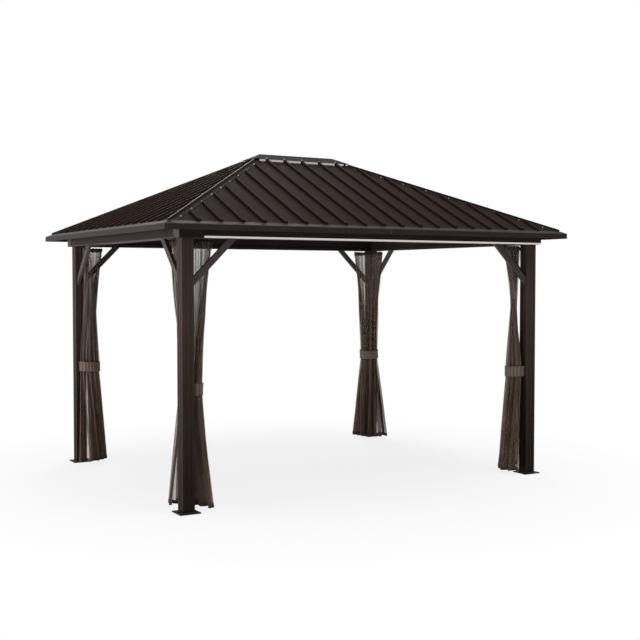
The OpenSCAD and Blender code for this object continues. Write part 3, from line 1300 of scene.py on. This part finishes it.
@dataclass
class Frame:
    """The beams' lips, plugs and joints, and the bolts of braces. The lips are coloured light as
    painted highlights.

    Attributes:
        finishes: The gazebo's finishes.
        screws: The tree of the screws.
        lip_t: How far a lip stands out from the beam's foot.
        lip_up: How far its lower edge lies over the beam's.
        lip_h: Height of a long beam's bare pale lip, a painted highlight.
        lip_start: Distance of its nearer end from the middle, where the painted highlight starts;
            the other end is the beam's.
        side_lip_h: Height of a side beam's lip, in a lighter paint that is a painted highlight.
        plug_t: Thickness of an end plug's flange.
        plug_in: How far a plug reaches into the beam.
        wall: Thickness of the beam's wall round it, with its clearance.
        web_in: How far the beam's outer web lies behind its foot's edge.
        seam_w: Width of a beam's joint.
        bolt_in: Distance of a brace's bolt from the post or the beam.
        brace_w: Width of a brace, square to its slope.
    """

    finishes: Finishes
    screws: RepeatTree
    lip_t: float = 1.2 * MM
    lip_up: float = 0.3 * MM
    lip_h: float = 14.4 * MM
    lip_start: float = 1.46
    side_lip_h: float = 6.0 * MM
    plug_t: float = 2.5 * MM
    plug_in: float = 18 * MM
    wall: float = 3.2 * MM
    web_in: float = 4.0 * MM
    seam_w: float = 3.0 * MM
    bolt_in: float = 0.028
    brace_w: float = 0.046

    def build(self) -> None:
        """Builds every added part of the frame."""
        for side in Side:
            self.lip(side)
            self.seam(side)
        for side in (Side.FRONT, Side.BACK):
            self.plugs(side)
        for corner in Corner:
            self.brace_bolts(corner)

    def lip(self, side: Side) -> None:
        """Makes the lip along a beam's foot, bare and pale on a long beam and in a lighter paint on
        a side beam; both are painted highlights.

        Args:
            side: The beam's side.
        """
        low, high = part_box(f"{side.label}_beam")
        span = (low[1 - side.axis], high[1 - side.axis])
        # The lip's light colour is a painted highlight; on a long beam it starts a set distance
        # from the middle.
        height, finish, slot = self.side_lip_h, self.finishes.coats["brace"], "beam_paint"
        if side.is_long:
            front = side is Side.FRONT
            span = (-self.lip_start, high.x) if front else (low.x, self.lip_start)
            height, finish, slot = self.lip_h, self.finishes.lip, "pale_lip"
        foot = low.z + self.lip_up
        strip = FaceStrip("beam", "lip", (-1 * MM, self.lip_t), 0.4 * MM, slot)
        strip.build(side, span, (foot, foot + height), finish)

    def seam(self, side: Side) -> None:
        """Makes the joint where a beam's two lengths meet, over its lip.

        Args:
            side: The beam's side.
        """
        low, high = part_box(f"{side.label}_beam")
        depth = (-self.web_in - 1 * MM, -self.web_in + 0.5 * MM)
        level = (low.z + 16 * MM, high.z - 1 * MM)
        strip = FaceStrip("beam", "joint", depth, 0.2 * MM, "beam_paint")
        span = (-self.seam_w / 2, self.seam_w / 2)
        strip.build(side, span, level, self.finishes.coats["cap"])

    def plugs(self, side: Side) -> None:
        """Makes the plugs that close a long beam's two open ends.

        Args:
            side: The beam's side.
        """
        low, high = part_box(f"{side.label}_beam")
        inner = low.y + (self.web_in if side is Side.FRONT else 0.0)
        outer = high.y - (0.0 if side is Side.FRONT else self.web_in)
        boxes = []
        for x, way in ((low.x, -1), (high.x, 1)):
            flange = Vector((x, inner, low.z)), Vector((x + way * self.plug_t, outer, high.z))
            low_end = Vector((x - way * self.plug_in, inner + self.wall, low.z + self.wall))
            boxes += [flange, (low_end, Vector((x, outer - self.wall, high.z - self.wall)))]
        name = f"{side.label}_beam_plugs"
        boxes_piece(name, boxes, 1.0 * MM, self.finishes.coats["brace"])

    def brace_bolts(self, corner: Corner) -> None:
        """Sets a bolt near each end of a corner's two braces, on their outer faces.

        Args:
            corner: The corner.
        """
        spots = []
        signs = corner.signs
        for level, run in enumerate("xy"):
            low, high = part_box(f"{corner.label}_brace_{run}")
            face = 1 - level
            post_side = (high if signs[level] > 0 else low)[level]
            centre_line = high[level] - low[level] - self.brace_w / math.sqrt(2)
            for away in (self.bolt_in, centre_line - self.bolt_in):
                place = Vector((0, 0, high.z - centre_line + away))
                place[level] = post_side - signs[level] * away
                place[face] = (high if signs[face] > 0 else low)[face]
                aim = Vector((0, 0, 0))
                aim[face] = signs[face]
                spots.append((place, aim))
        self.screws.scatter(
            f"{corner.label}_brace_bolts",
            spots,
            self.finishes.coats["brace"],
            "brace_paint",
            {"Head radius": 5.2 * MM, "Head height": 4.0 * MM},
        )


@dataclass(frozen=True)
class NetLevel:
    """The path that a gathered net follows on the plan at one height, and its folds there.

    Attributes:
        shares: Places along half of the path, from the diagonal, 0, to its end, 1.
        along: Distance from the post's inner corner along the beam, at each place.
        out: Distance from it square to the beam, at each place.
        pleat: Half depth of the small pleats.
        fold: Half depth of the broad folds.
        bunch: How closely the pleats crowd together in bunches, from 0 to 1.
    """

    shares: tuple[float, ...]
    along: tuple[float, ...]
    out: tuple[float, ...]
    pleat: float
    fold: float
    bunch: float

    def path(self, where: np.ndarray, stretch: float) -> np.ndarray:
        """Gives the points of the path, with its corners rounded.

        Args:
            where: Closely spaced places from -1, the end on the side beam, to 1, the end
                on the long one.
            stretch: How much longer the arm along the side beam is than the other.

        Returns:
            The points, one row each, in metres.
        """
        half = np.abs(where)
        along, out = (np.interp(half, self.shares, sizes) for sizes in (self.along, self.out))
        flip = where < 0
        along = np.where(flip, self.along[0] + (along - self.along[0]) * stretch, along)
        line = np.stack([np.where(flip, out, along), np.where(flip, along, out)], axis=-1)
        reach = 16
        kernel = np.hanning(2 * reach + 1)
        kernel /= kernel.sum()
        padded = np.pad(line, ((reach, reach), (0, 0)), mode="reflect", reflect_type="odd")
        return np.stack([np.convolve(padded[:, i], kernel, mode="valid") for i in (0, 1)], -1)


TOP = NetLevel(
    (0.0, 0.05, 0.1, 0.17, 0.55, 1.0),
    (0.024, 0.028, 0.034, 0.050, 0.107, 0.166),
    (0.024, 0.004, -0.014, -0.028, -0.030, -0.030),
    pleat=0.018,
    fold=0.003,
    bunch=0.38,
)
WAIST = NetLevel(
    (0.0, 0.25, 0.6, 1.0),
    (0.066, 0.080, 0.066, 0.026),
    (0.066, 0.030, -0.018, -0.054),
    pleat=0.017,
    fold=0.020,
    bunch=0.35,
)
FOOT = NetLevel(
    (0.0, 0.3, 0.6, 0.85, 1.0),
    (0.080, 0.104, 0.116, 0.112, 0.104),
    (0.080, 0.044, -0.006, -0.068, -0.116),
    pleat=0.006,
    fold=0.070,
    bunch=0.20,
)


@dataclass
class GatheredNet:
    """The net of one corner, drawn back to its post and tied.

    The cloth runs from the middle of one side round the corner to the middle of
    the next when it is drawn out, and is 2.78 m wide. Here it is pushed together
    on both tracks, tied at waist height and loose below.

    Attributes:
        corner: The net's corner.
        finishes: The gazebo's finishes.
        gliders: The tree of the curtain gliders.
        flat: Width and length of the cut cloth.
        pleats: Small pleats across the width.
        folds: Broad folds across the width.
        bunches: Bunches that the pleats crowd into.
        columns: Grid columns for each pleat.
        rows: Grid rows from foot to top.
        edge: Grid columns that the binding covers at each upright edge.
        binding_t: Thickness of the binding.
        tie: Heights of the tie band's lower and upper edge.
        band_t: Thickness of the tie band.
        drop: How far the cloth's top hangs below the tracks.
        scallop: How far the top edge sags between two gliders.
        glider_count: Gliders on each track.
        glider_up: How far a glider's middle hangs over the cloth's top.
        glider_from: Distance of the first glider from the post, along the beam.
        track: Distance of a track from the post's inner corner, square to its beam.
        curl: How far a pleat's crest leans over its foot, as a share of its depth.
        long_arm: How far the cloth reaches along the front or back track.
        foot_stretch: How much further the foot spreads along the side than along the front.
    """

    corner: Corner
    finishes: Finishes
    gliders: RepeatTree
    flat: Pair = (2.78, 1.91)
    pleats: int = 30
    folds: int = 9
    bunches: int = 7
    columns: int = 12
    rows: int = 72
    edge: int = 3
    binding_t: float = 1.4 * MM
    tie: Pair = (0.832, 0.918)
    band_t: float = 1.6 * MM
    drop: float = 0.012
    scallop: float = 0.014
    glider_count: int = 9
    glider_up: float = 7.5 * MM
    glider_from: float = 0.012
    track: float = -0.0315
    curl: float = 0.38
    long_arm: float = 0.166
    foot_stretch: float = 2.6

    @property
    def side_arm(self) -> float:
        """How far the cloth reaches along the side track, which is more at the front."""
        return 0.246 if self.corner.signs[1] < 0 else 0.172

    @property
    def ends(self) -> Pair:
        """Heights of the netting's foot and of the cloth's top."""
        low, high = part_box(f"{self.corner.label}_netting")
        return low.z, high.z - self.drop

    @property
    def inner(self) -> Vector:
        """The post's inner corner on the plan."""
        return self.corner.pick(*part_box(f"{self.corner.label}_post"), False)

    @staticmethod
    def uneven(
        share: np.ndarray, count: int, vary: float, chance: np.random.Generator
    ) -> np.ndarray:
        """Counts waves of uneven width across the cloth.

        Args:
            share: Places across the cloth, from 0 to 1.
            count: How many waves there are.
            vary: How much their widths differ, from 0 to 1.
            chance: The source of the differences.

        Returns:
            At each place, the waves passed so far.
        """
        widths = chance.uniform(1 - vary, 1 + vary, count)
        edges = np.concatenate([[0.0], np.cumsum(widths)]) / widths.sum()
        return np.interp(share, edges, np.arange(count + 1))

    def mixes(self, height: np.ndarray) -> np.ndarray:
        """Gives each height's shares of the waist, the top and the foot.

        Args:
            height: The heights.

        Returns:
            An array of heights by three shares.
        """
        foot, top = self.ends
        soft = 0.05
        up = np.clip((height - self.tie[1]) / (top - self.tie[1]), 0, 1)
        down = np.clip((self.tie[0] - height) / (self.tie[0] - foot), 0, 1)
        up, down = (share * share / (share + soft) * (1 + soft) for share in (up, down))
        down = down**0.9
        return np.stack([1 - up - down, up, down], axis=-1)

    def place(self, share: np.ndarray, height: np.ndarray) -> np.ndarray:
        """Gives the cloth's points in the corner's own axes.

        Args:
            share: Places across the cloth, from 0 to 1, one for each column.
            height: Heights, one for each row.

        Returns:
            An array of rows by columns by three.
        """
        chance = np.random.default_rng(40 + list(Corner).index(self.corner))
        fine = np.linspace(-1, 1, 401)
        base = TOP.along[0]
        stretch = (self.side_arm - base) / (self.long_arm - base)
        levels = (WAIST, TOP, FOOT)
        longer = (1.0, stretch, self.foot_stretch)
        paths = [level.path(fine, more) for level, more in zip(levels, longer)]
        counts = ((self.pleats, 0.45), (self.folds, 0.40), (self.bunches, 0.35))
        pleat_count, fold_count, bunch_count = (
            self.uneven(share, count, vary, chance) for count, vary in counts
        )
        deeps = (pleat_count, self.pleats, 0.70, 1.20), (fold_count, self.folds, 0.60, 1.25)
        pleat_deep, fold_deep = (
            np.interp(2 * passed, np.arange(2 * n + 1), chance.uniform(least, most, 2 * n + 1))
            for passed, n, least, most in deeps
        )
        drift = chance.uniform(-1, 1, 3)
        crowd = np.sin(2 * math.pi * (bunch_count + drift[0])) / (math.pi * self.bunches)

        rows = []
        for z, mix in zip(height, self.mixes(height)):
            plane = sum(w * p for w, p in zip(mix, paths))
            pleat, fold, bunch = (
                sum(w * getattr(level, size) for w, level in zip(mix, levels))
                for size in ("pleat", "fold", "bunch")
            )
            tangent = np.gradient(plane, fine, axis=0)
            tangent /= np.linalg.norm(tangent, axis=1)[:, None]
            where = np.clip(2 * share - 1 + bunch * crowd, -1, 1)
            point, run = (
                np.stack([np.interp(where, fine, line[:, i]) for i in (0, 1)], -1)
                for line in (plane, tangent)
            )
            side = np.stack([run[:, 1], -run[:, 0]], -1)
            # The pleats wander a little sideways with height, as hanging cloth does.
            lean = 0.30 * math.sin(2.1 * z + 3 * drift[0]) + 0.25 * drift[1] * z
            turn = 2 * math.pi * pleat_count + 0.6 * lean
            broad = np.sin(2 * math.pi * fold_count + 1.1 * lean + 3 * drift[2])
            # The broad folds flatten towards the cloth's two upright edges.
            tuck = np.sqrt(np.clip(1 - 0.8 * where**2, 0.2, 1))
            shift = np.sin(turn) * pleat_deep * pleat + broad * fold_deep * fold * tuck
            curl = self.curl * pleat * pleat_deep * np.sin(2 * turn)
            spot = point + shift[:, None] * side + curl[:, None] * run
            rows.append(np.concatenate([spot, np.full((len(share), 1), z)], axis=1))
        cloth = np.array(rows)

        hem_zone, hem_rise, top_zone = 0.25, 0.005, 0.3
        ruffle = np.sin(2 * math.pi * fold_count + drift[0])
        lift = np.clip((hem_zone - height) / hem_zone, 0, 1)[:, None] ** 2
        cloth[:, :, 2] += lift * hem_rise * (1 + ruffle)[None, :]
        sag = (1 - np.cos(4 * math.pi * self.glider_count * share)) / 2
        hang = np.clip((height - self.ends[1] + top_zone) / top_zone, 0, 1)[:, None] ** 2
        cloth[:, :, 2] -= hang * self.scallop * sag[None, :]
        return self.clear_of_post(cloth)

    @staticmethod
    def clear_of_post(cloth: np.ndarray, gap: float = 0.004) -> np.ndarray:
        """Pushes cloth that would enter the post out through the nearer face.

        Args:
            cloth: The cloth's points in the corner's own axes.
            gap: The clearance kept.

        Returns:
            The corrected points.
        """
        u, v = cloth[..., 0], cloth[..., 1]
        inside = (u < gap) & (v < gap)
        by_u, by_v = inside & (u >= v), inside & (u < v)
        cloth[..., 0] = np.where(by_u, gap, u)
        cloth[..., 1] = np.where(by_v, gap, v)
        return cloth

    def to_world(self, cloth: np.ndarray) -> np.ndarray:
        """Moves points from the corner's own axes to the gazebo's.

        Args:
            cloth: Points in the corner's own axes.

        Returns:
            The points in place.
        """
        moved = cloth.copy()
        for i, sign in enumerate(self.corner.signs):
            moved[..., i] = self.inner[i] - sign * cloth[..., i]
        return moved

    def build(self) -> None:
        """Builds the cloth, its binding, its tie band and its gliders."""
        label = self.corner.label
        foot, top = self.ends
        share = np.linspace(0, 1, self.pleats * self.columns + 1)
        height = np.linspace(foot + 1 * MM, top, self.rows + 1)
        cloth = self.to_world(self.place(share, height))
        rows, columns = cloth.shape[:2]
        points = cloth.reshape(-1, 3)
        grid = np.meshgrid(share * self.flat[0], np.linspace(0, self.flat[1], rows))
        flat = np.stack(grid, -1).reshape(-1, 2)

        def quad(r: int, c: int) -> list[int]:
            """Gives the four corners of a grid cell."""
            first = r * columns + c
            return [first, first + 1, first + columns + 1, first + columns]

        cells = list(product(range(rows - 1), range(columns - 1)))
        faces = [quad(r, c) for r, c in cells]
        net = make_piece(f"{label}_net", points, faces, self.finishes.net, flat)
        bound = [
            quad(r, c)
            for r, c in cells
            if r in (0, rows - 2) or c < self.edge or c >= columns - 1 - self.edge
        ]
        used = sorted({i for f in bound for i in f})
        renumber = {old: new for new, old in enumerate(used)}
        binding = make_piece(
            f"{label}_net_binding",
            points[used],
            [[renumber[i] for i in f] for f in bound],
            self.finishes.binding,
            flat[used],
        )
        thicken(binding, self.binding_t)
        band = self.tie_band(cloth, height)
        rings = self.hang(top)
        settle(net, f"{label}_netting")
        settle(binding)
        settle(band)

    def tie_band(self, cloth: np.ndarray, height: np.ndarray) -> Piece:
        """Wraps the tie band round the gathered cloth, with its end lapped over.

        Args:
            cloth: The cloth's points in place.
            height: The heights of its rows.

        Returns:
            The band.
        """
        low, high = self.tie
        margin, girth = 0.01, 0.06
        near = (height >= low - margin) & (height <= high + margin)
        ring = cloth[near].reshape(-1, 3)[:, :2]
        centre = ring.mean(axis=0)
        angles = np.linspace(0, 2 * math.pi, 97)[:-1]
        ways = np.stack([np.cos(angles), np.sin(angles)])
        reach = ((ring - centre) @ ways).max(axis=0)
        soft = 4
        kernel = np.hanning(2 * soft + 1)
        kernel /= kernel.sum()
        reach = np.convolve(np.concatenate([reach[-soft:], reach, reach[:soft]]), kernel, "valid")
        lapped, clear, lap_lift, squeeze, ripple, sag = 1.14, 2.5, 3.5, 1.5, 1.2, 4.0
        turns = np.linspace(0, 2 * math.pi * lapped, 110)
        start = math.atan2(-self.corner.signs[1], -self.corner.signs[0]) + math.pi
        levels = np.linspace(low, high, 7)
        points, flat = [], []
        for z in levels:
            tight = 1 - ((z - (low + high) / 2) / (high - (low + high) / 2)) ** 2
            for t in turns:
                a = (start + t) % (2 * math.pi)
                out = clear + lap_lift * t / (2 * math.pi) - squeeze * tight
                out += ripple * math.sin(5 * t + 40 * z)
                r = np.interp(a, angles, reach, period=2 * math.pi) + out * MM
                hung = z + sag * MM * math.sin(t * 1.3 + 0.7)
                points.append((centre[0] + r * math.cos(a), centre[1] + r * math.sin(a), hung))
                flat.append((t * girth, z - low))
        width = len(turns)
        faces = [
            [r * width + c, r * width + c + 1, (r + 1) * width + c + 1, (r + 1) * width + c]
            for r, c in product(range(len(levels) - 1), range(width - 1))
        ]
        name = f"{self.corner.label}_net_tie_band"
        band = make_piece(name, points, faces, self.finishes.band, np.array(flat))
        thicken(band, self.band_t)
        return band

    def hang(self, top: float) -> Piece:
        """Hangs the cloth's top edge from the tracks by its gliders.

        Args:
            top: Height of the cloth's top edge.

        Returns:
            The piece that holds the gliders.
        """
        sx, sy = self.corner.signs
        z = top + self.glider_up
        spots = []
        for share in np.linspace(0, 1, self.glider_count):
            long, side = (
                self.glider_from + (arm - self.glider_from) * share
                for arm in (self.long_arm, self.side_arm)
            )
            for u, v, aim in ((long, self.track, (1, 0, 0)), (self.track, side, (0, 1, 0))):
                place = Vector((self.inner.x - sx * u, self.inner.y - sy * v, z))
                spots.append((place, Vector(aim)))
        name = f"{self.corner.label}_net_gliders"
        return self.gliders.scatter(name, spots, self.finishes.nylon, "hook_nylon")


@dataclass(frozen=True)
class Lamp:
    """A soft white rectangular lamp of the studio.

    Attributes:
        name: The lamp's name.
        place: Where it hangs.
        target: What it points at.
        size: Its width and height.
        power: Its power in watts.
    """

    name: str
    place: Point
    target: Point
    size: Pair
    power: float

    def build(self) -> None:
        """Hangs the lamp."""
        light = bpy.data.lights.new(self.name, "AREA")
        light.energy = self.power
        light.shape = "RECTANGLE"
        light.size, light.size_y = self.size
        lamp = bpy.data.objects.new(self.name, light)
        bpy.context.scene.collection.objects.link(lamp)
        lamp.location = self.place
        aim = Vector(self.target) - Vector(self.place)
        lamp.rotation_euler = aim.to_track_quat("-Z", "Y").to_euler()


@dataclass(frozen=True)
class Studio:
    """The white ground, the floor, the lamps and the camera.

    Attributes:
        ambient: Level of the light from all round.
        camera_place: Where the camera stands.
        camera_turn: Its turn from +Y towards +X, in degrees.
        camera_drop: How far it looks down, in degrees.
        lens_mm: Its lens.
        sensor_mm: Width of its sensor.
        floor_reach: Half width of the floor.
        lamps: The soft lamps.
    """

    ambient: float = 0.36
    camera_place: Point = (-4.5097, -8.2333, 1.6703)
    camera_turn: float = 29.9764
    camera_drop: float = 2.248
    lens_mm: float = 59.861
    sensor_mm: float = 36.0
    floor_reach: float = 60.0
    lamps: tuple[Lamp, ...] = (
        Lamp("key_left", (-9.0, -1.0, 1.2), (0, 0, 1.2), (5.0, 2.2), 440.0),
        Lamp("fill_high", (1.5, -4.0, 9.5), (0, 0, 1.8), (5.0, 5.0), 300.0),
        Lamp("rim_back", (2.0, 6.0, 6.5), (0, 0, 2.2), (4.0, 4.0), 230.0),
    )

    def build(self) -> None:
        """Builds the whole studio."""
        scene = bpy.context.scene
        scene.view_settings.view_transform = "Standard"
        self.world()
        self.floor()
        for lamp in self.lamps:
            lamp.build()
        data = bpy.data.cameras.new("studio_camera")
        data.lens = self.lens_mm
        data.sensor_width = self.sensor_mm
        data.clip_end = 200.0
        camera = bpy.data.objects.new("studio_camera", data)
        scene.collection.objects.link(camera)
        camera.location = self.camera_place
        turns = (90 - self.camera_drop, 0.0, -self.camera_turn)
        camera.rotation_euler = tuple(map(math.radians, turns))
        scene.camera = camera

    def world(self) -> None:
        """Makes the world white to the eye and softer as a light."""
        world = bpy.data.worlds.new("studio_world")
        world.use_nodes = True
        tree = world.node_tree
        tree.nodes.clear()
        levels = (seen_directly(tree), 0.0, 1.0, self.ambient, 1.0)
        strength = add_node(tree, RANGE, levels).outputs[0]
        sky = {"Color": (1.0, 1.0, 1.0, 1.0), "Strength": strength}
        shade = add_node(tree, "ShaderNodeBackground", sky)
        add_node(tree, "ShaderNodeOutputWorld", {"Surface": shade.outputs[0]})
        bpy.context.scene.world = world

    def floor(self) -> None:
        """Lays the floor that carries the shadow."""
        reach = self.floor_reach
        mesh = bpy.data.meshes.new("studio_floor")
        ring = [(-reach, -reach, 0), (reach, -reach, 0), (reach, reach, 0), (-reach, reach, 0)]
        mesh.from_pydata(ring, [], [[0, 1, 2, 3]])
        mesh.materials.append(StudioFloor("studio_floor", "#f4f4f4").build())
        floor = bpy.data.objects.new("studio_floor", mesh)
        bpy.context.scene.collection.objects.link(floor)


def dress_nodes(frame: dict, finishes: Finishes) -> None:
    """Gives every node of the frame its finish.

    Args:
        frame: The loaded frame.
        finishes: The gazebo's finishes.
    """
    for name, node in frame["nodes"].items():
        material = finishes.for_node(name)
        if node.material_slots:
            for place in node.material_slots:
                place.material = material
        else:
            node.data.materials.append(material)


def main() -> None:
    """Builds the gazebo's looks in order."""
    logging.basicConfig(level=logging.INFO, format="%(name)s %(message)s")
    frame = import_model()
    Studio().build()
    finishes = Finishes()
    dress_nodes(frame, finishes)
    screws = screw_tree()
    gliders = glider_tree()
    Roof(finishes, frame, screws).build()
    Frame(finishes, screws).build()
    for corner in Corner:
        GatheredNet(corner, finishes, gliders).build()


if __name__ == "__main__":
    main()
